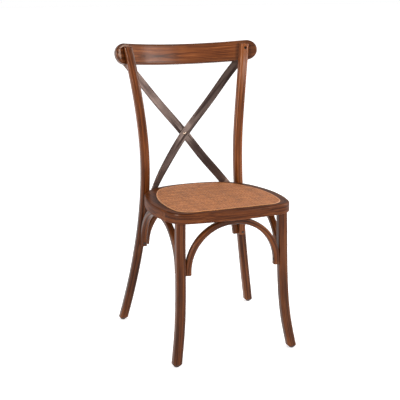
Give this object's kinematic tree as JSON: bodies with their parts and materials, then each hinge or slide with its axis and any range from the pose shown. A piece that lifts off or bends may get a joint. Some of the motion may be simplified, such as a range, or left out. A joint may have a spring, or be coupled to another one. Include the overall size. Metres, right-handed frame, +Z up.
{
  "type": "cross back chair",
  "caption": "Dining chair with curved wooden legs and posts, a bent crest rail, crossed flat metal straps in the back, a woven rattan seat and bentwood arches under it.",
  "frame": {"origin": "on the floor, under the centre of the chair's overall width and depth", "axes": "+X is to the right as seen from the front, which faces -Y; +Y is towards the back; +Z is up"},
  "size_m": [0.4752, 0.4797, 0.8918],
  "materials": {
    "leg_wood": "satin stained beech",
    "rail_wood": "satin stained ash",
    "seat_wood": "satin stained beech",
    "arch_wood": "satin stained beech",
    "panel_ply": "raw plywood",
    "rattan": "woven rattan, matt",
    "strap_bronze": "brushed dark bronze",
    "rivet_steel": "brushed",
    "strap_screw_steel": "dark bronze",
    "screw_steel": "dark zinc",
    "glide_plastic": "matt"
  },
  "bodies": {
    "root": {"arch_leg_screws": "screw_steel", "arch_seat_screws": "screw_steel", "crest_rail": "rail_wood", "crest_rail_screws": "screw_steel", "cross_rivet": "rivet_steel", "cross_strap_left": "strap_bronze", "cross_strap_right": "strap_bronze", "front_arch": "arch_wood", "front_leg_left": "leg_wood", "front_leg_right": "leg_wood", "glide_front_left": "glide_plastic", "glide_front_right": "glide_plastic", "glide_rear_left": "glide_plastic", "glide_rear_right": "glide_plastic", "left_arch": "arch_wood", "rattan_mat": "rattan", "rear_arch": "arch_wood", "rear_leg_bolts": "screw_steel", "rear_leg_left": "leg_wood", "rear_leg_right": "leg_wood", "right_arch": "arch_wood", "seat_front_rail": "seat_wood", "seat_left_rail": "seat_wood", "seat_panel": "panel_ply", "seat_panel_screws": "screw_steel", "seat_rear_rail": "seat_wood", "seat_right_rail": "seat_wood", "strap_screws_lower": "strap_screw_steel", "strap_screws_upper": "strap_screw_steel"}
  },
  "joints": []
}
